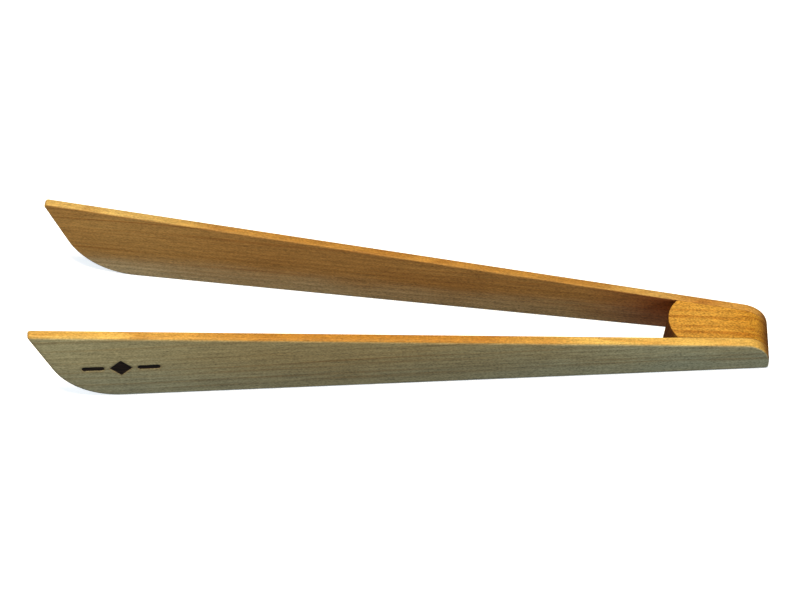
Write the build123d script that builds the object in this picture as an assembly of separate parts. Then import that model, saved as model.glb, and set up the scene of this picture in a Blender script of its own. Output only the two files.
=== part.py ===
from build123d import *

import os
from math import cos, radians, sin, tan

# Wooden spring tongs: two flat blades glued to a wedge block at the heel.
#
# Frame: +Z up, +X towards the heel, the blade tips at -X, the blades mirrored about the plane y = 0.
# The tongs stand on their long lower edges, with the origin in the middle of the footprint.
# Lengths are in millimetres and angles in degrees.

# Driving dimensions
OVERALL_LENGTH = 250.0
HEEL_LENGTH = 32.0  # nose of the wedge block to the heel end
BLADE_THICKNESS = 3.3
BLADE_SPLAY = 5.15  # degrees of each blade from the middle plane
NOSE_GAP = 16.5  # between the inner faces where they meet the block's nose
NOSE_HEIGHT = 15.2  # height of the tongs there
TAPER = 4.7  # degrees between the straight top edge and the bottom edge

# Tip of a blade, in its own plane
TIP_CUT = 67.0  # degrees between the slanting cut and the bottom edge
TIP_BELLY_RADIUS = 24.5
TIP_POINT_RADIUS = 1.0

# Rounding
HEEL_TOP_RADIUS = 10.0
HEEL_BOTTOM_RADIUS = 1.6
NOSE_RADIUS = 12.4
OUTER_EDGE_RADIUS = 1.2
NOSE_EDGE_RADIUS = 0.3
CORNER_LIFT = 0.05  # how far a sanded corner's arc would overshoot the faces beside it

# Glue joint
GLUE_FILM = 0.1
GLUE_INSET = 0.15  # the film stays this far inside the outline of the joint

# Bending section: a knuckle stands in for the length of wood that flexes
FLEX_DISTANCE = 30.0  # its axis, this far out from the block's nose
KNUCKLE_CLEARANCE = 0.12

# Burnt-in ornament, a diamond between two bars, on the outer face of the near blade
MARK_FROM_NOSE = 188.8
MARK_HEIGHT = 15.0
MARK_DEPTH = 0.25
MARK_DIAMOND = 7.6
MARK_BAR_LENGTH = 7.6
MARK_BAR_WIDTH = 1.9
MARK_PITCH = 9.4  # from the diamond's centre to each bar's

# Worked out
HEEL_X = OVERALL_LENGTH / 2
NOSE_X = HEEL_X - HEEL_LENGTH
ROUNDED_OFF_TIP = TIP_POINT_RADIUS * (
    cos(radians(TIP_CUT + TAPER) / 2) / sin(radians(TIP_CUT - TAPER) / 2) - 1
)
TIP_FROM_NOSE = (OVERALL_LENGTH - HEEL_LENGTH + ROUNDED_OFF_TIP) / cos(radians(BLADE_SPLAY))
TOO_LONG = 40.0  # how far raw stock runs past a later cut
NEAR, FAR = -1, 1


def top_height(x):
    """Height of the top edge over a point of the middle plane."""
    return NOSE_HEIGHT - (x - NOSE_X) * tan(radians(TAPER))


def side_profile():
    """Space between the bottom and the sloping top edge, across the width and on past the heel."""
    front, back = -HEEL_X - TOO_LONG, HEEL_X + TOO_LONG
    corners = [(front, 0), (back, 0), (back, top_height(back)), (front, top_height(front))]
    outline = Polyline(*corners, close=True)
    return extrude(Plane.XZ * make_face(outline), amount=OVERALL_LENGTH / 2, both=True)


def corner_offcut(radius, height, slope, side):
    """What is sanded off one corner of the heel, side = 1 at the top and -1 at the bottom.

    The arc meets the two faces at a slight angle, as a hand-sanded corner does.
    """
    from_faces = radius - CORNER_LIFT
    centre = Pos(HEEL_X - from_faces, height - side * from_faces)
    reach = 2 * radius
    corner = Pos(reach / 2, side * reach / 2) * Rectangle(reach, reach) - Circle(radius)
    return centre * Rot(0, 0, -slope) * corner


def heel_offcuts(inset=0.0):
    """All that is sawn and sanded off the glued heel to give it its rounded end."""
    centre_x = HEEL_X - HEEL_TOP_RADIUS + CORNER_LIFT
    lean = (1 / cos(radians(TAPER)) - 1) * (HEEL_TOP_RADIUS - CORNER_LIFT)
    top = corner_offcut(HEEL_TOP_RADIUS, top_height(centre_x) - lean, TAPER, 1)
    bottom = corner_offcut(HEEL_BOTTOM_RADIUS, 0, 0, -1)
    past_end = Pos(HEEL_X + TOO_LONG, 0) * Rectangle(2 * TOO_LONG, 4 * TOO_LONG)
    offcuts = []
    for face in (top, bottom, past_end):
        solid = extrude(Plane.XZ * face, amount=OVERALL_LENGTH, both=True)
        offcuts.append(Pos(-inset, 0, 0) * solid)
    return offcuts


def blade_plane(side, depth=0.0):
    """Plane of a blade's face, depth out from its inner face.

    Its origin is at the block's nose, x points to the heel, y up and z towards the near side.
    """
    turn = Rot(0, 0, -side * BLADE_SPLAY)
    return Plane(Pos(NOSE_X, side * NOSE_GAP / 2, 0) * turn * Pos(0, side * depth, 0) * Rot(90, 0, 0))


def blade_stock(side):
    """A flat blade with its slanting tip, still running past the heel and above the top edge."""
    tip_height = top_height(-HEEL_X - ROUNDED_OFF_TIP)
    toe = -TIP_FROM_NOSE + tip_height / tan(radians(TIP_CUT))
    top = tip_height + TOO_LONG
    top_start = toe - top / tan(radians(TIP_CUT))
    heel = HEEL_LENGTH + TOO_LONG / 2
    face = make_face(Polyline((toe, 0), (heel, 0), (heel, top), (top_start, top), close=True))
    toe_corner = face.vertices().sort_by_distance((toe, 0, 0))[0]
    face = fillet(toe_corner, TIP_BELLY_RADIUS)
    return extrude(blade_plane(side) * face, amount=BLADE_THICKNESS, dir=inner_to_outer(side))


def inner_to_outer(side):
    """Direction square to a blade's faces, pointing away from the other blade."""
    angle = radians(BLADE_SPLAY)
    return Vector(sin(angle), side * cos(angle), 0)


def whole_blade(side):
    """One blade as it is cut and sanded, before it is parted at the bending section.

    Its long edges and its tip are rounded on the outer face, and its heel end is cut off crisp.
    """
    blade = blade_stock(side) & side_profile()
    tip_point = blade.edges().sort_by(Axis.X)[0]
    blade = fillet(tip_point, TIP_POINT_RADIUS)
    outer_face = blade.faces().sort_by(lambda f: f.center().dot(inner_to_outer(side)))[-1]
    rounded_edges = outer_face.edges().sort_by(Axis.X)[:-1]
    return fillet(rounded_edges, OUTER_EDGE_RADIUS) - heel_offcuts()


def flex_axis(side):
    """Foot of the bending axis, in the middle of the blade's thickness."""
    out = inner_to_outer(side) * (BLADE_THICKNESS / 2)
    angle = radians(BLADE_SPLAY)
    along = Vector(-cos(angle), side * sin(angle), 0) * FLEX_DISTANCE
    return Vector(NOSE_X, side * NOSE_GAP / 2, 0) + along + out


def knuckle(side, radius):
    """Round bar on the bending axis, taller than the blade."""
    foot = flex_axis(side)
    return Pos(foot.X, foot.Y, 0) * Cylinder(radius, 3 * NOSE_HEIGHT)


def heel_side_of_flex(side):
    """Everything on the heel's side of the bending axis."""
    foot = flex_axis(side)
    block = Pos(OVERALL_LENGTH / 2, 0, 0) * Box(OVERALL_LENGTH, OVERALL_LENGTH, OVERALL_LENGTH)
    return Pos(foot.X, foot.Y, 0) * Rot(0, 0, -side * BLADE_SPLAY) * block


def parted_blade(side):
    """The glued root of a blade and its moving arm."""
    blade = whole_blade(side)
    heel_side = heel_side_of_flex(side)
    root = (blade & heel_side) - knuckle(side, BLADE_THICKNESS / 2 + KNUCKLE_CLEARANCE)
    arm = (blade - heel_side) + (blade & knuckle(side, BLADE_THICKNESS / 2))
    return root, arm


def mark_cutter():
    """The ornament as a shallow cutter in the outer face of the near blade."""
    diamond = Rot(0, 0, 45) * Rectangle(MARK_DIAMOND / 2**0.5, MARK_DIAMOND / 2**0.5)
    mark = diamond
    for step in (-1, 1):
        mark += Pos(step * MARK_PITCH, 0) * SlotOverall(MARK_BAR_LENGTH, MARK_BAR_WIDTH)
    face_plane = blade_plane(NEAR, BLADE_THICKNESS)
    place = Pos(-MARK_FROM_NOSE, MARK_HEIGHT)
    return extrude(face_plane * place * mark, amount=MARK_DEPTH, both=True)


def joint_wedge(gap):
    """Wedge that fills the heel between the blades, left this far clear of each inner face."""
    half_nose = NOSE_GAP / 2 - gap / cos(radians(BLADE_SPLAY))
    front, back = NOSE_X - TOO_LONG, HEEL_X + TOO_LONG
    slope = tan(radians(BLADE_SPLAY))
    half_front, half_back = half_nose + TOO_LONG * slope, half_nose - (back - NOSE_X) * slope
    outline = Polyline(
        (front, -half_front), (back, -half_back), (back, half_back), (front, half_front), close=True
    )
    return extrude(make_face(outline), amount=3 * NOSE_HEIGHT)


def nose_bar(inset=0.0):
    """Space behind the block's rounded nose, which stands square to the sloping top edge."""
    half_chord = NOSE_GAP / 2
    centre = (NOSE_RADIUS**2 - half_chord**2) ** 0.5
    reach = 3 * HEEL_LENGTH
    bar = Pos(centre, 0, 0) * Cylinder(NOSE_RADIUS - inset, reach)
    bar += Pos(centre + reach / 2, 0, 0) * Box(reach, reach, reach)
    return Pos(NOSE_X, 0, NOSE_HEIGHT) * Rot(0, TAPER, 0) * bar


def wedge_block():
    """The block that both blades are glued to."""
    block = (joint_wedge(GLUE_FILM) & side_profile() & nose_bar()) - heel_offcuts()
    nose_face = block.faces().sort_by(Axis.X)[0]
    rims = nose_face.edges().filter_by(GeomType.LINE, reverse=True)
    return fillet(rims, NOSE_EDGE_RADIUS)


def glue_line(side):
    """The thin film of glue between the block and one blade."""
    film = joint_wedge(0.0) - joint_wedge(GLUE_FILM)
    half = Pos(0, side * OVERALL_LENGTH / 2, 0) * Box(3 * OVERALL_LENGTH, OVERALL_LENGTH, OVERALL_LENGTH)
    film = film & half & nose_bar(GLUE_INSET)
    for lift in (-GLUE_INSET, GLUE_INSET):
        film = film & Pos(0, 0, lift) * side_profile()
    return film - heel_offcuts(GLUE_INSET)


def main():
    os.makedirs("parts", exist_ok=True)
    nodes = {"wedge_block": wedge_block()}
    for name, side in (("near", NEAR), ("far", FAR)):
        root, arm = parted_blade(side)
        if side == NEAR:
            arm -= mark_cutter()
        nodes[f"{name}_blade_root"] = root
        nodes[f"{name}_blade_arm"] = arm
        nodes[f"{name}_glue_line"] = glue_line(side)
    for name, shape in nodes.items():
        export_step(shape, f"parts/{name}.step")
    for name, side in (("near", NEAR), ("far", FAR)):
        foot = flex_axis(side)
        print(name, "bending axis at x", round(foot.X, 3), "y", round(foot.Y, 3))


main()
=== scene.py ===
"""Looks of the wooden spring tongs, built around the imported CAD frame.

Lengths are in metres, in the row frame: +X towards the glued heel, +Z up, the near blade at -Y.
A blade is laid out in its own plane: u runs from the block's nose towards the tip, z is up,
and depth runs from the blade's inner face, which looks at the other blade, to its outer face.
"""

import math
from dataclasses import dataclass

import bpy
import numpy as np
from mathutils import Matrix, Vector


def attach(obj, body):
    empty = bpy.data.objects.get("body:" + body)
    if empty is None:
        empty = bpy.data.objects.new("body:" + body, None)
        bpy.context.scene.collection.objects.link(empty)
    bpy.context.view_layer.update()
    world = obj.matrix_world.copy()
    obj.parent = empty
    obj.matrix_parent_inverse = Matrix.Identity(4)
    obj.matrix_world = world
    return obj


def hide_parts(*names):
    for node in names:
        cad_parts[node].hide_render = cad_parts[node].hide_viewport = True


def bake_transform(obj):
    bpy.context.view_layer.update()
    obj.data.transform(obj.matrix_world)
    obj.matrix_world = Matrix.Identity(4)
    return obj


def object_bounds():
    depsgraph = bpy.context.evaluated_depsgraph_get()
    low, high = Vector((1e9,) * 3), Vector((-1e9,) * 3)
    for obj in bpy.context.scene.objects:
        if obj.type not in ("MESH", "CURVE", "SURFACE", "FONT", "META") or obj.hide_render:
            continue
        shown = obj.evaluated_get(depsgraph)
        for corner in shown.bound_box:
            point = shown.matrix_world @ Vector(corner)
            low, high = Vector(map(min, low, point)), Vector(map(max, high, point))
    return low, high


MM = 0.001

# The blades, as the CAD cuts them
HEEL_LENGTH = 32.0 * MM
BLADE_THICKNESS = 3.3 * MM
BLADE_SPLAY = math.radians(5.15)
NOSE_GAP = 16.5 * MM
NOSE_HEIGHT = 15.2 * MM
TAPER = math.radians(4.7)
TIP_CUT = math.radians(67.0)
TIP_BELLY_RADIUS = 24.5 * MM
TIP_POINT_RADIUS = 1.0 * MM
HEEL_TOP_RADIUS = 10.0 * MM
HEEL_BOTTOM_RADIUS = 1.6 * MM
OUTER_EDGE_RADIUS = 1.2 * MM
INNER_EDGE_RADIUS = 0.45 * MM
GLUED_EDGE = 0.25  # how much of that rounding is left along the glued heel, sanded flush with the block
HEEL_EASE = 0.25  # how much of the edge rounding is left round the heel end, which was sawn last
NOSE_RADIUS = 12.4 * MM
NOSE_EDGE_RADIUS = 0.3 * MM
GLUE_FILM = 0.1 * MM
FLEX_DISTANCE = 30.0 * MM
FLEX_LENGTH = 48.0 * MM  # of blade that is cut finely, centred on the CAD's hinge

# Burnt mark: a diamond between two bars, on the near blade's outer face
MARK_FROM_NOSE = 188.8 * MM
MARK_HEIGHT = 15.0 * MM
MARK_DEPTH = 0.25 * MM
MARK_DIAMOND = 7.6 * MM
MARK_BAR_LENGTH = 7.6 * MM
MARK_BAR_WIDTH = 1.9 * MM
MARK_PITCH = 9.4 * MM
MARK_EDGE = 0.18 * MM  # width of the slope down into the burnt recess

# How a blade's mesh is cut up
TIP_ZONE = 205.0 * MM  # from here to the tip the rungs crowd together
HEEL_ZONE = -12.0 * MM  # and from here to the heel's rounding
TIP_RUNGS = 26
HEEL_RUNGS = 6
TIP_ARC_RUNGS = 6
HEEL_ARC_RUNGS = 12
TIP_STEP = 1.0 * MM
MIDDLE_STEP = 5.0 * MM
FLEX_STEP = 1.5 * MM
ROOT_STEP = 3.0 * MM
CROSS_STEP = 0.1  # of a rung's height
MARK_GRID = 0.25 * MM
MARK_MARGIN = 2.0 * MM  # above and below the mark, cut as finely as the mark itself
NO_MARK = 2.0 * MM  # as far from the mark as its shading looks
INNER_EDGE_STEPS = 3
OUTER_EDGE_STEPS = 8
FACE_SUPPORT = 0.1 * MM  # a ring this far in from the rounding keeps a face flat
SMALLEST_ROUNDING = 0.05 * MM
GLUED_UP_TO = -2.0 * MM  # the edge opens out from its glued rounding
FREE_FROM = 3.0 * MM  # to its full rounding between these two
SHARP_ANGLE = math.radians(40)

# How the block's mesh is cut up
BLOCK_CUTS_ACROSS = 24
BLOCK_ARC_STEPS = 12
BLOCK_LINE_STEPS = 10

# What these parts of the wood multiply its colour by
HEART = (0.69, 0.50, 0.30)
# The next tone is painted shade, which darkens the inner faces near the block's nose
THROAT_SHADE = (0.6, 0.33, 0.28)
LATE = (0.72, 0.6, 0.5)
# The next tone is partly end grain's own darker colour, and partly painted shade on the block's nose
# wall between the blades and on the ends
END_GRAIN_AND_SHADE = (0.34, 0.22, 0.26)
SCORCHED = (0.5, 0.38, 0.28)
# Colours, linear red, green and blue
CHAR_DARK = (0.006, 0.004, 0.004)
CHAR_LIGHT = (0.03, 0.017, 0.012)
GLUE_THICK = (0.10, 0.045, 0.018)
GLUE_THIN = (0.22, 0.11, 0.04)

# Lengths of the wood's features, along the grain and across it both ways
FIBRES = (9 * MM, 0.4 * MM, 0.4 * MM)
THREADS = (45 * MM, 1.3 * MM, 1.3 * MM)
FLECKS = (0.8 * MM, 0.35 * MM, 0.35 * MM)
PATCHES = (35 * MM, 9 * MM, 9 * MM)
RING_WANDER = (80 * MM, 14 * MM, 14 * MM)
RING_UNEVENNESS = (300 * MM, 5 * MM, 5 * MM)
RING_DRIFT = 0.012  # how far the rings slope along the blade
# How far these push a ring out of place
WANDER_REACH = 1.2 * MM
UNEVENNESS_REACH = 1.4 * MM
THREADS_REACH = 0.12 * MM
LATE_START = 0.2  # where in a ring its late wood starts
LATE_END = 0.85  # and where it is darkest, before the next ring
HEART_FADE_IN = 30 * MM  # to each side of where the browner stretch starts
HEART_FADE_OUT = 35 * MM
HEART_WOBBLE = 14 * MM
HEART_ON_FACES = 0.45  # how much of the browner tone the faces take
# How much the upper border of the painted low band wobbles
PAINTED_LOW_BAND_WOBBLE = 2 * MM
TIP_LIGHT_FROM = -30 * MM  # between these distances the faces are painted lighter, as the light grows towards the tip
TIP_LIGHT_TO = 230 * MM
BLOTCHES = 0.35  # how strongly the patches show
FACE_SHADE = 0.15  # painted shade: how much darker the faces are than the edges
FIBRE_CONTRAST = 0.32
THREAD_CONTRAST = 0.16
CHAR_RAGGED = 0.05 * MM  # how ragged the burnt rim is
CHAR_SOFT = 0.12 * MM  # how softly the char ends
SCORCH_REACH = 1.2 * MM
SCORCH_STRENGTH = 0.5
# Lengths of the glue's features
GLUE_BLOBS = (2.5 * MM, 2.5 * MM, 2.5 * MM)
GLUE_GRIT = (0.4 * MM, 0.4 * MM, 0.4 * MM)

WOOD_ROUGHNESS = 0.52
WOOD_SPECULAR = 0.18
WOOD_RELIEF = 0.02 * MM
GLUE_ROUGHNESS = 0.42
GLUE_RELIEF = 0.02 * MM

NEAR, FAR = -1, 1

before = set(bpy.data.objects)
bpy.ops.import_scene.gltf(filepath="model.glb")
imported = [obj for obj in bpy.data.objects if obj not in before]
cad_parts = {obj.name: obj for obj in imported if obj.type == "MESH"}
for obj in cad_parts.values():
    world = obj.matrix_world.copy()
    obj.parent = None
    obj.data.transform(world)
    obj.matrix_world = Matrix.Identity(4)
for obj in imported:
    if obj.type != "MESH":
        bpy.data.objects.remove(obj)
cad_low, cad_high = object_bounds()
NOSE_X = cad_high.x - HEEL_LENGTH


# ---------------------------------------------------------------- blade outline


def top_height(u, depth):
    """Height of a blade's top edge, which slopes in the row frame's XZ plane."""
    behind_nose = depth * math.sin(BLADE_SPLAY) - u * math.cos(BLADE_SPLAY)
    return NOSE_HEIGHT - behind_nose * math.tan(TAPER)


def tip_from_nose():
    """Distance to the sharp corner that the tip had before its point was rounded off."""
    bisector, half = (TIP_CUT + TAPER) / 2, (TIP_CUT - TAPER) / 2
    rounded_off = TIP_POINT_RADIUS * (math.cos(bisector) / math.sin(half) - 1)
    return (cad_high.x - cad_low.x - HEEL_LENGTH + rounded_off) / math.cos(BLADE_SPLAY)


def inset_corners(corners, insets):
    """Corners of a convex outline, listed clockwise, each side moved in by its own inset."""
    normals, offsets = [], []
    for i, corner in enumerate(corners):
        way = corner - corners[i - 1]
        inward = np.array([way[1], -way[0]]) / np.linalg.norm(way)
        normals.append(inward)
        offsets.append(inward @ corner + insets[i])
    moved = []
    for i in range(len(corners)):
        after = (i + 1) % len(corners)
        moved.append(np.linalg.solve([normals[i], normals[after]], [offsets[i], offsets[after]]))
    return moved


def corner_arc(before, corner, after, radius, steps=24):
    """Points of the arc that rounds a corner, from the side of the point before it to the one after."""
    back = (before - corner) / np.linalg.norm(before - corner)
    onward = (after - corner) / np.linalg.norm(after - corner)
    half = math.acos(back @ onward) / 2
    centre = corner + (back + onward) / np.linalg.norm(back + onward) * radius / math.sin(half)
    start = corner + back * radius / math.tan(half) - centre
    angles = -np.linspace(0, math.pi - 2 * half, steps + 1)
    cos, sin = np.cos(angles), np.sin(angles)
    return centre + np.stack([cos * start[0] - sin * start[1], sin * start[0] + cos * start[1]], axis=1)


def outline_arcs(inset, depth):
    """The rounded corners of a blade's outline, clockwise from the heel's bottom corner."""
    tip_u = tip_from_nose()
    toe_u = tip_u - top_height(tip_u, 0) / math.tan(TIP_CUT)
    point_u = toe_u + top_height(tip_u, depth) / math.tan(TIP_CUT)
    heel_u = (depth * math.sin(BLADE_SPLAY) - HEEL_LENGTH) / math.cos(BLADE_SPLAY)
    corners = [
        np.array([heel_u, 0]),
        np.array([heel_u, top_height(heel_u, depth)]),
        np.array([point_u, top_height(point_u, depth)]),
        np.array([toe_u, 0]),
    ]
    corners = inset_corners(corners, [inset, inset * HEEL_EASE, inset, inset])
    radii = [HEEL_BOTTOM_RADIUS, HEEL_TOP_RADIUS, TIP_POINT_RADIUS, TIP_BELLY_RADIUS]
    arcs = []
    for i, radius in enumerate(radii):
        rounded = max(radius - inset, SMALLEST_ROUNDING)
        arcs.append(corner_arc(corners[i - 1], corners[i], corners[(i + 1) % 4], rounded))
    return arcs


def resampled(line, count):
    """A line of points cut into count equal lengths."""
    run = np.concatenate([[0], np.cumsum(np.linalg.norm(np.diff(line, axis=0), axis=1))])
    shares = np.linspace(0, run[-1], count + 1)
    return np.stack([np.interp(shares, run, line[:, k]) for k in (0, 1)], axis=1)


def edge_between(edge, start_u, end_u):
    """The stretch of a long edge between two distances from the nose, the tip end first."""
    inside = edge[(edge[:, 0] < start_u) & (edge[:, 0] > end_u)]
    start, end = ([u, np.interp(u, edge[::-1, 0], edge[::-1, 1])] for u in (start_u, end_u))
    return np.concatenate([[start], inside, [end]])


def half_outline(tip_arc, edge, heel_arc, body):
    """Upper or lower half of an outline, from the tip to the heel, with a point on every rung."""
    body_z = np.interp(body, edge[::-1, 0], edge[::-1, 1])
    parts = [
        resampled(tip_arc, TIP_ARC_RUNGS)[:-1],
        resampled(edge_between(edge, edge[0, 0], TIP_ZONE), TIP_RUNGS)[:-1],
        np.stack([body, body_z], axis=1)[:-1],
        resampled(edge_between(edge, HEEL_ZONE, edge[-1, 0]), HEEL_RUNGS)[:-1],
        resampled(heel_arc, HEEL_ARC_RUNGS),
    ]
    return np.concatenate(parts)


def outline_halves(inset, depth, body):
    """Lower and upper halves of a blade's outline at one depth, moved in by inset."""
    heel_bottom, heel_top, tip, toe = outline_arcs(inset, depth)
    middle = len(tip) // 2
    lower_edge = np.concatenate([tip[-1:], toe, heel_bottom[:1]])
    upper_edge = np.array([tip[0], heel_top[-1]])
    lower = half_outline(tip[middle:], lower_edge, heel_bottom, body)
    upper = half_outline(tip[middle::-1], upper_edge, heel_top[::-1], body)
    return lower, upper


# ---------------------------------------------------------------- blade mesh


def spread(*spans):
    """Values from one end to the other of several spans in a row, each with its own largest step."""
    cuts = []
    for start, end, step in spans:
        count = max(1, math.ceil(abs(end - start) / step))
        cuts.append(np.linspace(start, end, count, endpoint=False))
    return np.append(np.concatenate(cuts), spans[-1][1])


def body_rungs(marked):
    """Where the body of a blade is cut across, from the tip end to the heel end."""
    reach = MARK_PITCH + MARK_BAR_LENGTH / 2 + 2 * MARK_EDGE
    mark_to, mark_from = MARK_FROM_NOSE + reach, MARK_FROM_NOSE - reach
    flex_to, flex_from = FLEX_DISTANCE + FLEX_LENGTH / 2, FLEX_DISTANCE - FLEX_LENGTH / 2
    return spread(
        (TIP_ZONE, mark_to, TIP_STEP),
        (mark_to, mark_from, MARK_GRID if marked else TIP_STEP),
        (mark_from, flex_to, MIDDLE_STEP),
        (flex_to, flex_from, FLEX_STEP),
        (flex_from, HEEL_ZONE, ROOT_STEP),
    )


def cross_cuts(marked):
    """Where a rung is cut, as shares of its height from the bottom edge to the top edge."""
    if not marked:
        return spread((0, 1, CROSS_STEP))
    height = top_height(MARK_FROM_NOSE, 0)
    half = MARK_DIAMOND / 2 + MARK_MARGIN
    low, high = (MARK_HEIGHT - half) / height, (MARK_HEIGHT + half) / height
    return spread((0, low, CROSS_STEP), (low, high, MARK_GRID / height), (high, 1, CROSS_STEP))


def edge_profile():
    """Inset and depth of each ring round a blade, from the inner face over the wall to the outer face.

    The third value says how far the ring is on the edge, from 0 on a face to 1 on the wall.
    """
    inner = edge_quarter(INNER_EDGE_RADIUS, INNER_EDGE_STEPS)
    outer = edge_quarter(OUTER_EDGE_RADIUS, OUTER_EDGE_STEPS)
    below = [(inset, drop, share) for inset, drop, share in reversed(inner)]
    above = [(inset, BLADE_THICKNESS - drop, share) for inset, drop, share in outer]
    return below + above


def edge_quarter(radius, steps):
    """Inset, distance in from the face and share of edge, from the wall to the face."""
    quarter = []
    for angle in np.linspace(0, math.pi / 2, steps + 1):
        inset, drop = radius * (1 - math.cos(angle)), radius * (1 - math.sin(angle))
        quarter.append((inset, drop, math.cos(angle) ** 2))
    return quarter + [(radius + FACE_SUPPORT, 0.0, 0.0)]


def mark_distance(u, z):
    """Distance outside the burnt mark's outline, negative inside it."""
    du, dz = u - MARK_FROM_NOSE, z - MARK_HEIGHT
    diamond = (np.abs(du) + np.abs(dz) - MARK_DIAMOND / 2) / math.sqrt(2)
    half_run = (MARK_BAR_LENGTH - MARK_BAR_WIDTH) / 2
    past_end = np.maximum(np.abs(np.abs(du) - MARK_PITCH) - half_run, 0)
    bar = np.hypot(past_end, dz) - MARK_BAR_WIDTH / 2
    return np.minimum(diamond, bar)


def smooth_step(low, high, value):
    t = np.clip((value - low) / (high - low), 0, 1)
    return t * t * (3 - 2 * t)


def outline_ring(inset, depth, body, cross):
    """One ring of (u, depth, z) points round a blade, from the tip under it to the heel and back."""
    lower, upper = outline_halves(inset, depth, body)
    heel_line = lower[-1] + np.outer(cross[1:-1], upper[-1] - lower[-1])
    return np.insert(np.concatenate([lower, heel_line, upper[:0:-1]]), 1, depth, axis=1)


def round_strip(round_count, first):
    """Faces that join one closed ring of points, whose first is numbered first, to the next ring."""
    faces = []
    for i in range(round_count):
        a, b = first + i, first + (i + 1) % round_count
        faces.append((a, b, b + round_count, a + round_count))
    return faces


def face_grid(edge_line, first_on_edge, first_inside, rungs, cross):
    """The points inside one flat face of a blade, and the faces that join them to its outline."""
    round_count, across = len(edge_line), len(cross) - 1
    lower = edge_line[: rungs + 1]
    upper = np.concatenate([edge_line[:1], edge_line[: rungs + across - 1 : -1]])
    inside = lower[1:rungs, None] + cross[None, 1:-1, None] * (upper - lower)[1:rungs, None]

    def number(i, j):
        if i == 0 or j == 0:
            return first_on_edge + i
        if i == rungs:
            return first_on_edge + rungs + j
        if j == across:
            return first_on_edge + round_count - i
        return first_inside + (i - 1) * (across - 1) + j - 1

    faces = []
    for i in range(rungs):
        for j in range(across):
            corners = (number(i, j), number(i, j + 1), number(i + 1, j + 1), number(i + 1, j))
            faces.append(corners if i else corners[1:])
    return inside.reshape(-1, 3), faces


def blade_layout(marked):
    """Vertices of a blade as (u, depth, z), their share of edge, and its faces."""
    body, cross = body_rungs(marked), cross_cuts(marked)
    points, edge_share = [], []
    for inset, depth, share in edge_profile():
        line = outline_ring(inset, depth, body, cross)
        if depth < BLADE_THICKNESS / 2:
            tight = outline_ring(inset * GLUED_EDGE, depth * GLUED_EDGE, body, cross)
            glued = 1 - smooth_step(GLUED_UP_TO, FREE_FROM, line[:, :1])
            line += glued * (tight - line)
        points.append(line)
        edge_share.append(np.full(len(line), share))
    round_count, ring_count = len(line), len(points)
    rungs = (round_count - len(cross) + 1) // 2

    faces = []
    for ring in range(ring_count - 1):
        faces += round_strip(round_count, ring * round_count)
    for ring in (0, ring_count - 1):
        first_inside = sum(len(p) for p in points)
        inside, grid = face_grid(points[ring], ring * round_count, first_inside, rungs, cross)
        points.append(inside)
        edge_share.append(np.zeros(len(inside)))
        faces += [corners[::-1] for corners in grid] if ring else grid
    return np.concatenate(points), np.concatenate(edge_share), faces


def blade_frame(side):
    """Matrix from a blade's own (u, depth, z) to the row frame."""
    towards_tip = Vector((-math.cos(BLADE_SPLAY), side * math.sin(BLADE_SPLAY), 0))
    outwards = Vector((math.sin(BLADE_SPLAY), side * math.cos(BLADE_SPLAY), 0))
    matrix = Matrix((towards_tip, outwards, Vector((0, 0, 1)))).transposed().to_4x4()
    matrix.translation = (NOSE_X, side * NOSE_GAP / 2, 0)
    return matrix


def make_blade(name, side, marked):
    """One blade in one continuous mesh, from its tip to its glued heel."""
    layout, edge_share, faces = blade_layout(marked)
    distance = np.full(len(layout), NO_MARK)
    if marked:
        outside = np.minimum(mark_distance(layout[:, 0], layout[:, 2]), NO_MARK)
        distance = np.where(on_face(layout), outside, NO_MARK)
    placed = layout.copy()
    placed[:, 1] -= MARK_DEPTH * (1 - smooth_step(-MARK_EDGE, MARK_EDGE, distance))
    matrix = np.array(blade_frame(side))
    if side == FAR:
        faces = [face[::-1] for face in faces]
    blade = make_piece(name, placed @ matrix[:3, :3].T + matrix[:3, 3], faces)
    give_wood_attributes(blade, layout, edge_share, facing(blade, matrix[:3, 0]), distance)
    return blade


def on_face(layout):
    """Which points of a blade lie in its outer face."""
    return layout[:, 1] > BLADE_THICKNESS - 0.01 * MM


def make_piece(name, points, faces):
    """A smooth-shaded mesh object whose sharp edges stay crisp."""
    mesh = bpy.data.meshes.new(name)
    mesh.from_pydata(points.tolist(), [], faces)
    mesh.validate()
    mesh.shade_smooth()
    mesh.set_sharp_from_angle(angle=SHARP_ANGLE)
    piece = bpy.data.objects.new(name, mesh)
    bpy.context.scene.collection.objects.link(piece)
    return piece


def facing(piece, direction):
    """How much each point of a piece faces along or against a direction, from 0 to 1."""
    normals = np.empty(len(piece.data.vertices) * 3)
    piece.data.vertex_normals.foreach_get("vector", normals)
    return smooth_step(0.5, 1.0, np.abs(normals.reshape(-1, 3) @ direction))


def give_wood_attributes(piece, place, edge_share, end_share, distance):
    """What the wood's shader reads: where a point is in the wood, and how far it is on an edge,
    on end grain and outside the burnt mark."""
    vector = piece.data.attributes.new("wood_place", "FLOAT_VECTOR", "POINT")
    vector.data.foreach_set("vector", place.astype(np.float32).ravel())
    for label, values in (
        ("edge_share", edge_share),
        ("end_share", end_share),
        ("mark_distance", distance),
    ):
        attribute = piece.data.attributes.new(label, "FLOAT", "POINT")
        attribute.data.foreach_set("value", values.astype(np.float32))


# ---------------------------------------------------------------- wedge block


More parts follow.
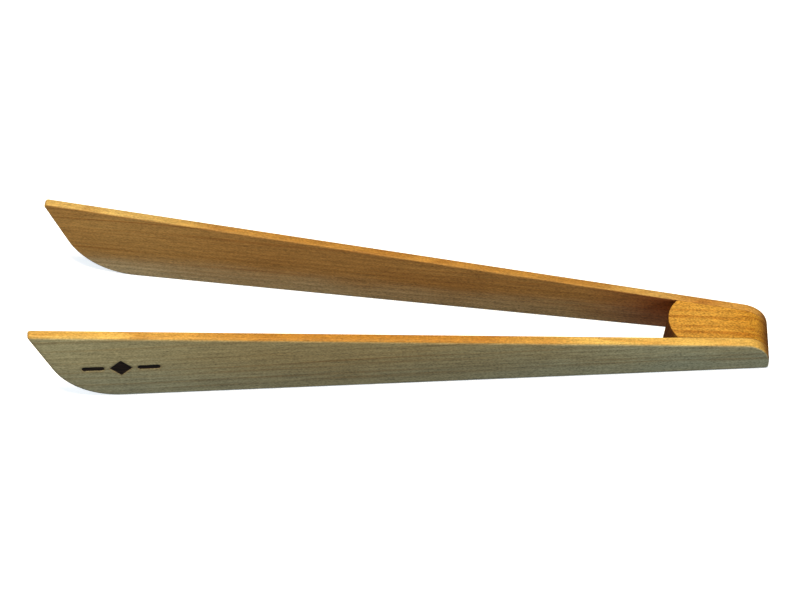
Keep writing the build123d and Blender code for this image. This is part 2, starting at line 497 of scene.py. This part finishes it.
def block_profile(across):
    """The block's outline in the XZ plane, clockwise, at this share of the way to a blade."""
    centre = math.sqrt(NOSE_RADIUS**2 - (NOSE_GAP / 2) ** 2)
    bulge = centre - math.sqrt(NOSE_RADIUS**2 - (across * NOSE_GAP / 2) ** 2)
    top_nose = np.array([NOSE_X + bulge * math.cos(TAPER), NOSE_HEIGHT - bulge * math.sin(TAPER)])
    heel_x = cad_high.x
    corners = [
        np.array([top_nose[0] - top_nose[1] * math.tan(TAPER), 0]),
        top_nose,
        np.array([heel_x, NOSE_HEIGHT - HEEL_LENGTH * math.tan(TAPER)]),
        np.array([heel_x, 0]),
    ]
    radii = [NOSE_EDGE_RADIUS, NOSE_EDGE_RADIUS, HEEL_TOP_RADIUS, HEEL_BOTTOM_RADIUS]
    arcs = []
    for i, radius in enumerate(radii):
        arc = corner_arc(corners[i - 1], corners[i], corners[(i + 1) % 4], radius)
        arcs.append(resampled(arc, BLOCK_ARC_STEPS))
    line = []
    for i, arc in enumerate(arcs):
        gap = np.linspace(arc[-1], arcs[(i + 1) % 4][0], BLOCK_LINE_STEPS + 1)
        line.extend([arc, gap[1:-1]])
    return np.concatenate(line)


def make_block():
    """The wedge block: its profile swept across, following the two blades' inner faces."""
    sections = []
    for across in np.linspace(-1, 1, BLOCK_CUTS_ACROSS + 1):
        profile = block_profile(across)
        narrowing = np.maximum(profile[:, 0] - NOSE_X, 0) * math.tan(BLADE_SPLAY)
        half_width = NOSE_GAP / 2 - GLUE_FILM - narrowing
        sections.append(np.insert(profile, 1, across * half_width, axis=1))
    round_count = len(profile)
    faces = []
    for cut in range(BLOCK_CUTS_ACROSS):
        faces += round_strip(round_count, cut * round_count)
    last = BLOCK_CUTS_ACROSS * round_count
    faces.append(tuple(range(round_count))[::-1])
    faces.append(tuple(range(last, last + round_count)))
    points = np.concatenate(sections)
    block = make_piece("wedge_block_wood", points, faces)
    place = points * (-1, 1, 1) + (NOSE_X, 0, 0)
    everywhere = np.ones(len(points))
    end_share = facing(block, np.array([1.0, 0.0, 0.0]))
    give_wood_attributes(block, place, everywhere, end_share, everywhere * NO_MARK)
    return block


# ---------------------------------------------------------------- materials


class Graph:
    """Short names for the shader nodes of one material. Every input is a socket or a plain value."""

    def __init__(self, name):
        self.material = bpy.data.materials.new(name)
        self.material.use_nodes = True
        self.tree = self.material.node_tree
        self.shader = self.tree.nodes["Principled BSDF"]

    def node(self, kind, inputs, **settings):
        node = self.tree.nodes.new(kind)
        for key, value in settings.items():
            setattr(node, key, value)
        for key, value in inputs.items():
            self.plug(node.inputs[key], value)
        return node

    def plug(self, socket, value):
        if isinstance(value, bpy.types.NodeSocket):
            self.tree.links.new(value, socket)
        else:
            socket.default_value = value

    def attribute(self, name, output):
        return self.node("ShaderNodeAttribute", {}, attribute_name=name).outputs[output]

    def parts(self, vector):
        """The three parts of a vector."""
        return self.node("ShaderNodeSeparateXYZ", {0: vector}).outputs[:]

    def math(self, operation, a, b=0.0):
        return self.node("ShaderNodeMath", {0: a, 1: b}, operation=operation).outputs[0]

    def add(self, *terms):
        total = terms[0]
        for term in terms[1:]:
            total = self.math("ADD", total, term)
        return total

    def times(self, a, b):
        return self.math("MULTIPLY", a, b)

    def step(self, value, low, high):
        """0 below low, 1 above high and a smooth slope between them."""
        inputs = {"Value": value, "From Min": low, "From Max": high}
        return self.node("ShaderNodeMapRange", inputs, interpolation_type="SMOOTHSTEP").outputs[0]

    def fall(self, value, low, high):
        """1 below low, 0 above high and a smooth slope between them."""
        return self.math("SUBTRACT", 1.0, self.step(value, low, high))

    def scale(self, vector, sizes):
        """A place measured in these lengths, one for each axis."""
        scale = tuple(1 / size for size in sizes)
        return self.node("ShaderNodeMapping", {"Vector": vector, "Scale": scale}).outputs[0]

    def noise(self, vector, sizes, detail, seed):
        """Noise that seldom leaves -1 to 1, with blotches of these lengths."""
        scaled = self.scale(vector, sizes)
        shifted = self.node("ShaderNodeVectorMath", {0: scaled, 1: (seed, seed, seed)}).outputs[0]
        texture = self.node("ShaderNodeTexNoise", {"Vector": shifted, "Scale": 1.0, "Detail": detail})
        return self.times(self.math("SUBTRACT", texture.outputs["Fac"], 0.5), 3.0)

    def mix(self, share, a, b, mode="MIX"):
        node = self.node("ShaderNodeMix", {"Factor": share}, data_type="RGBA", blend_type=mode)
        for socket, colour in ((node.inputs[6], a), (node.inputs[7], b)):
            self.plug(socket, colour if isinstance(colour, bpy.types.NodeSocket) else (*colour, 1))
        return node.outputs[2]

    def tint(self, share, colour, tone):
        """A colour multiplied by a tone, as much as share says."""
        return self.mix(share, colour, tone, mode="MULTIPLY")

    def bump(self, height, depth):
        """Relief of that many metres where height is 1."""
        inputs = {"Height": height, "Strength": 1.0, "Distance": depth}
        return self.node("ShaderNodeBump", inputs).outputs[0]


@dataclass
class Wood:
    """What the wood of one piece looks like. Its grain runs along u."""

    name: str
    face: tuple  # colour of the faces, painted greyer and darker as shade
    painted_low_band: tuple  # colour painted on a face's lower band, for the light and shade near the floor
    painted_low_band_height: float
    edge: tuple  # colour of the edges, painted warmer and lighter as sunlight on them
    heel_shade: tuple  # painted shade: what multiplies the edges' colour towards the heel end
    heel_shade_from: float  # where the painted heel shade starts
    heel_shade_to: float  # and where it is complete, nearer to the heel
    heart_from: float  # where the wood turns browner
    heart_to: float  # and where it turns back, nearer to the tip
    throat_shade: float  # how far out from the block's nose the inner face is darkened by painted shade
    tip_light: float  # painted light: how much lighter the faces are painted at the tip than at the heel
    ring_width: float
    ring_tilt: float  # angle that the rings lean from lying flat towards standing up along the blade
    ring_depth: float  # how strongly the rings show
    speckle: float  # how strongly the pores show
    seed: float


def late_wood(g, wood, place, threads):
    """How much of the rings' dark late wood shows. They wander, and differ in width and strength."""
    u, depth, z = g.parts(place)
    wander = g.noise(place, RING_WANDER, detail=1, seed=wood.seed)
    uneven = g.noise(place, RING_UNEVENNESS, detail=1, seed=wood.seed + 11)
    outwards = g.add(
        g.times(z, math.cos(wood.ring_tilt)),
        g.times(depth, math.sin(wood.ring_tilt)),
        g.times(u, RING_DRIFT),
        g.times(wander, WANDER_REACH),
        g.times(uneven, UNEVENNESS_REACH),
        g.times(threads, THREADS_REACH),
    )
    rings = g.times(outwards, 1 / wood.ring_width)
    phase = g.math("FRACT", rings)
    late = g.times(g.step(phase, LATE_START, LATE_END), g.fall(phase, LATE_END, 1.0))
    ring_number = g.add(g.math("FLOOR", rings), wood.seed)
    chance = g.node("ShaderNodeTexWhiteNoise", {"W": ring_number}, noise_dimensions="1D")
    strength = g.times(chance.outputs["Value"], g.step(threads, -1.0, 0.9))
    return g.times(g.times(late, wood.ring_depth), strength)


def heart_wood(g, wood, u, patches, edge_share):
    """How far a place is in the browner stretch of the wood, which shows most on the edges."""
    along = g.add(u, g.times(patches, HEART_WOBBLE))
    heart = g.times(
        g.step(along, wood.heart_from - HEART_FADE_IN, wood.heart_from + HEART_FADE_IN),
        g.fall(along, wood.heart_to - HEART_FADE_OUT, wood.heart_to + HEART_FADE_OUT),
    )
    return g.times(heart, g.add(HEART_ON_FACES, g.times(edge_share, 1 - HEART_ON_FACES)))


def burn_in(g, colour, fibres, flecks):
    """Chars the mark into the wood's colour and scorches its rim. Also says how charred a place is."""
    distance = g.add(g.attribute("mark_distance", "Fac"), g.times(flecks, CHAR_RAGGED))
    scorch = g.fall(distance, -0.1 * MM, SCORCH_REACH)
    burnt = g.fall(distance, -CHAR_SOFT, CHAR_SOFT)
    colour = g.tint(g.times(scorch, SCORCH_STRENGTH), colour, SCORCHED)
    char = g.mix(g.step(fibres, -0.5, 0.9), CHAR_DARK, CHAR_LIGHT)
    return g.mix(burnt, colour, char), burnt


def make_wood(wood):
    """The procedural material of one piece's wood."""
    g = Graph(wood.name)
    place = g.attribute("wood_place", "Vector")
    u, depth, z = g.parts(place)
    fibres = g.noise(place, FIBRES, detail=3, seed=wood.seed + 3)
    threads = g.noise(place, THREADS, detail=3, seed=wood.seed + 5)
    flecks = g.noise(place, FLECKS, detail=1, seed=wood.seed + 7)
    patches = g.noise(place, PATCHES, detail=2, seed=wood.seed + 9)
    late = late_wood(g, wood, place, threads)

    edge_share = g.step(g.attribute("edge_share", "Fac"), 0.0, 0.6)
    face_share = g.math("SUBTRACT", 1.0, edge_share)
    end_share = g.attribute("end_share", "Fac")
    inner_face = g.times(face_share, g.fall(depth, 0.5 * MM, 1.5 * MM))
    # Painted shade in the corner between the inner faces and the block's nose
    throat_shaded = g.times(inner_face, g.fall(u, 0.0, wood.throat_shade))
    # Painted shade: the edges grow darker towards the heel end.
    heel_shaded = g.times(edge_share, g.fall(u, wood.heel_shade_to, wood.heel_shade_from))
    blotched = g.times(g.step(patches, -0.9, 1.1), BLOTCHES)

    # Painted light and shade near the floor: a face's lower band takes its own colour.
    above_painted_low_band = g.step(g.add(z, g.times(patches, PAINTED_LOW_BAND_WOBBLE)), 0.5 * MM, wood.painted_low_band_height)
    # Painted light: the faces take a greyer, darker colour as shade, and the edges a warmer, lighter
    # one as sunlight.
    colour = g.mix(edge_share, g.mix(above_painted_low_band, wood.painted_low_band, wood.face), wood.edge)
    colour = g.tint(heart_wood(g, wood, u, patches, edge_share), colour, HEART)
    colour = g.tint(heel_shaded, colour, wood.heel_shade)
    colour = g.tint(blotched, colour, HEART)
    colour = g.tint(throat_shaded, colour, THROAT_SHADE)
    colour = g.tint(late, colour, LATE)

    # Painted light: the faces grow lighter towards the tip, away from the shade near the block.
    tip_lit = g.times(g.step(u, TIP_LIGHT_FROM, TIP_LIGHT_TO), face_share)
    light = g.add(
        1.05,
        g.times(tip_lit, wood.tip_light),
        g.times(face_share, -FACE_SHADE),
        g.times(fibres, FIBRE_CONTRAST),
        g.times(threads, THREAD_CONTRAST),
        g.times(flecks, wood.speckle),
    )
    grey = g.node("ShaderNodeCombineColor", {0: light, 1: light, 2: light}).outputs[0]
    colour = g.tint(1.0, colour, grey)
    # Darker end grain, which also carries painted shade on the block's nose wall and the ends
    colour = g.tint(end_share, colour, END_GRAIN_AND_SHADE)
    colour, burnt = burn_in(g, colour, fibres, flecks)

    roughness = g.add(
        WOOD_ROUGHNESS,
        g.times(fibres, 0.06),
        g.times(late, -0.08),
        g.times(burnt, 0.25),
        g.times(end_share, 0.3),
    )
    relief = g.add(g.times(fibres, 0.5), g.times(late, 0.8), g.times(flecks, 0.35))
    g.plug(g.shader.inputs["Base Color"], colour)
    g.plug(g.shader.inputs["Roughness"], roughness)
    g.plug(g.shader.inputs["Specular IOR Level"], WOOD_SPECULAR)
    g.plug(g.shader.inputs["Normal"], g.bump(relief, WOOD_RELIEF))
    return g.material


def dried_glue():
    """Brown wood glue with a skin of uneven colour and gloss."""
    g = Graph("dried_glue")
    place = g.node("ShaderNodeTexCoord", {}).outputs["Object"]
    blobs = g.noise(place, GLUE_BLOBS, detail=3, seed=2.2)
    grit = g.noise(place, GLUE_GRIT, detail=1, seed=5.1)
    lumps = g.add(blobs, g.times(grit, 0.3))
    g.plug(g.shader.inputs["Base Color"], g.mix(g.step(lumps, -0.8, 0.9), GLUE_THICK, GLUE_THIN))
    g.plug(g.shader.inputs["Roughness"], g.add(GLUE_ROUGHNESS, g.times(blobs, 0.08)))
    g.plug(g.shader.inputs["Normal"], g.bump(lumps, GLUE_RELIEF))
    return g.material


# ---------------------------------------------------------------- pieces


near_wood = Wood(
    name="near_blade_wood",
    # The near blade's faces are painted a cool grey-green, as shade under a blue sky.
    face=(0.41, 0.37, 0.215),
    # The near blade's darker, greener low band is painted shade.
    painted_low_band=(0.29, 0.3, 0.215),
    painted_low_band_height=22 * MM,
    edge=(0.58, 0.405, 0.115),
    heel_shade=(0.86, 0.78, 0.62),
    heel_shade_from=-19 * MM,
    heel_shade_to=-31 * MM,
    heart_from=38 * MM,
    heart_to=170 * MM,
    throat_shade=40 * MM,
    tip_light=0.18,
    ring_width=2.3 * MM,
    ring_tilt=math.radians(20),
    ring_depth=1.1,
    speckle=0.44,
    seed=1.3,
)
far_wood = Wood(
    name="far_blade_wood",
    # The far blade's faces are painted browner, as warm light bounced onto them from the near blade.
    face=(0.42, 0.24, 0.075),
    # The far blade's lighter, greyer low band is painted light bounced from the floor.
    painted_low_band=(0.5, 0.42, 0.27),
    painted_low_band_height=13 * MM,
    edge=(0.5, 0.375, 0.135),
    heel_shade=(0.86, 0.645, 0.43),
    heel_shade_from=12 * MM,
    heel_shade_to=-8 * MM,
    heart_from=10 * MM,
    heart_to=165 * MM,
    throat_shade=40 * MM,
    tip_light=0.35,
    ring_width=2.1 * MM,
    ring_tilt=math.radians(15),
    ring_depth=1.1,
    speckle=0.44,
    seed=7.7,
)
# The block takes the same colour all over, with no faces painted in shade, so it is all edge, and its
# browner stretch lies beyond its heel end.
block_wood = Wood(
    name="block_wood",
    face=(0.44, 0.25, 0.044),
    painted_low_band=(0.44, 0.25, 0.044),
    painted_low_band_height=1 * MM,
    edge=(0.44, 0.25, 0.044),
    heel_shade=(0.93, 0.85, 0.55),
    heel_shade_from=-8 * MM,
    heel_shade_to=-30 * MM,
    heart_from=-90 * MM,
    heart_to=-90 * MM,
    throat_shade=1 * MM,
    tip_light=0.0,
    ring_width=2.3 * MM,
    ring_tilt=math.radians(72),
    ring_depth=2.2,
    speckle=0.7,
    seed=4.1,
)

for name, side, look in (("near", NEAR, near_wood), ("far", FAR, far_wood)):
    blade = make_blade(f"{name}_blade", side, marked=side == NEAR)
    blade.data.materials.append(make_wood(look))
    start = blade_frame(side) @ Vector((FLEX_DISTANCE - FLEX_LENGTH / 2, 0, 0))
    end = blade_frame(side) @ Vector((FLEX_DISTANCE + FLEX_LENGTH / 2, 0, 0))
    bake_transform(blade)
    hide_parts(f"{name}_blade_root", f"{name}_blade_arm")

block = make_block()
block.data.materials.append(make_wood(block_wood))
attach(block, "heel")
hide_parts("wedge_block")

glue = dried_glue()
for node in ("near_glue_line", "far_glue_line"):
    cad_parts[node].data.materials.clear()
    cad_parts[node].data.materials.append(glue)


# ---------------------------------------------------------------- stage, lights and camera


FLOOR_REACH = 3.0
FLOOR_DROP = 0.1 * MM  # so that the floor never coincides with the blades' undersides
FLOOR_COLOUR = (0.8, 0.8, 0.8, 1)
FLOOR_GLOW = (0.9, 0.95, 1, 1)
FLOOR_GLOW_STRENGTH = 0.78
SKY_COLOUR = (0.85, 0.95, 1.0, 1)
SKY_STRENGTH = 0.15

CAMERA_AZIMUTH = math.radians(0.708)
CAMERA_ELEVATION = math.radians(50.05)
CAMERA_ROLL = math.radians(1.094)
CAMERA_DISTANCE = 1077 * MM
CAMERA_AIM = Vector((-1.9, 4.4, 15.6)) * MM
CAMERA_LENS = 141.6


def make_floor():
    """A pale floor with a glow of its own, so that shadows on it stay faint."""
    mesh = bpy.data.meshes.new("floor")
    signs = ((-1, -1), (1, -1), (1, 1), (-1, 1))
    corners = [(x * FLOOR_REACH, y * FLOOR_REACH, -FLOOR_DROP) for x, y in signs]
    mesh.from_pydata(corners, [], [(0, 1, 2, 3)])
    floor = bpy.data.objects.new("floor", mesh)
    bpy.context.scene.collection.objects.link(floor)
    material = bpy.data.materials.new("floor")
    material.use_nodes = True
    shader = material.node_tree.nodes["Principled BSDF"]
    shader.inputs["Base Color"].default_value = FLOOR_COLOUR
    shader.inputs["Roughness"].default_value = 0.9
    shader.inputs["Emission Color"].default_value = FLOOR_GLOW
    shader.inputs["Emission Strength"].default_value = FLOOR_GLOW_STRENGTH
    mesh.materials.append(material)
    floor.visible_diffuse = False
    floor.visible_glossy = False


def make_sky():
    """Even light from all round."""
    world = bpy.data.worlds.new("studio")
    world.use_nodes = True
    background = world.node_tree.nodes["Background"]
    background.inputs["Color"].default_value = SKY_COLOUR
    background.inputs["Strength"].default_value = SKY_STRENGTH
    bpy.context.scene.world = world


def area_light(name, place, size, power, colour):
    """A round soft light that shines on the middle of the object."""
    data = bpy.data.lights.new(name, "AREA")
    data.shape = "DISK"
    data.size = size
    data.energy = power
    data.color = colour
    light = bpy.data.objects.new(name, data)
    light.location = place
    light.rotation_euler = (-Vector(place)).to_track_quat("-Z", "Y").to_euler()
    bpy.context.scene.collection.objects.link(light)


def make_camera():
    data = bpy.data.cameras.new("camera")
    data.lens = CAMERA_LENS
    data.sensor_width = 36
    data.clip_end = 20
    camera = bpy.data.objects.new("camera", data)
    level = math.cos(CAMERA_ELEVATION)
    sideways, backwards = math.sin(CAMERA_AZIMUTH) * level, -math.cos(CAMERA_AZIMUTH) * level
    back = Vector((sideways, backwards, math.sin(CAMERA_ELEVATION)))
    turn = (-back).to_track_quat("-Z", "Y").to_matrix() @ Matrix.Rotation(CAMERA_ROLL, 3, "Z")
    camera.matrix_world = Matrix.Translation(CAMERA_AIM + back * CAMERA_DISTANCE) @ turn.to_4x4()
    bpy.context.scene.collection.objects.link(camera)
    bpy.context.scene.camera = camera


make_floor()
make_sky()
make_camera()
area_light("key", (-0.1, -0.3, 1.73), size=0.5, power=43, colour=(1.0, 0.78, 0.48))
area_light("fill", (1.1, -1.3, 0.55), size=0.8, power=12.5, colour=(0.86, 0.97, 1.0))
area_light("back_fill", (-0.8, 1.5, 0.6), size=0.8, power=3.5, colour=(0.95, 0.98, 1.0))
bpy.context.scene.view_settings.view_transform = "Standard"
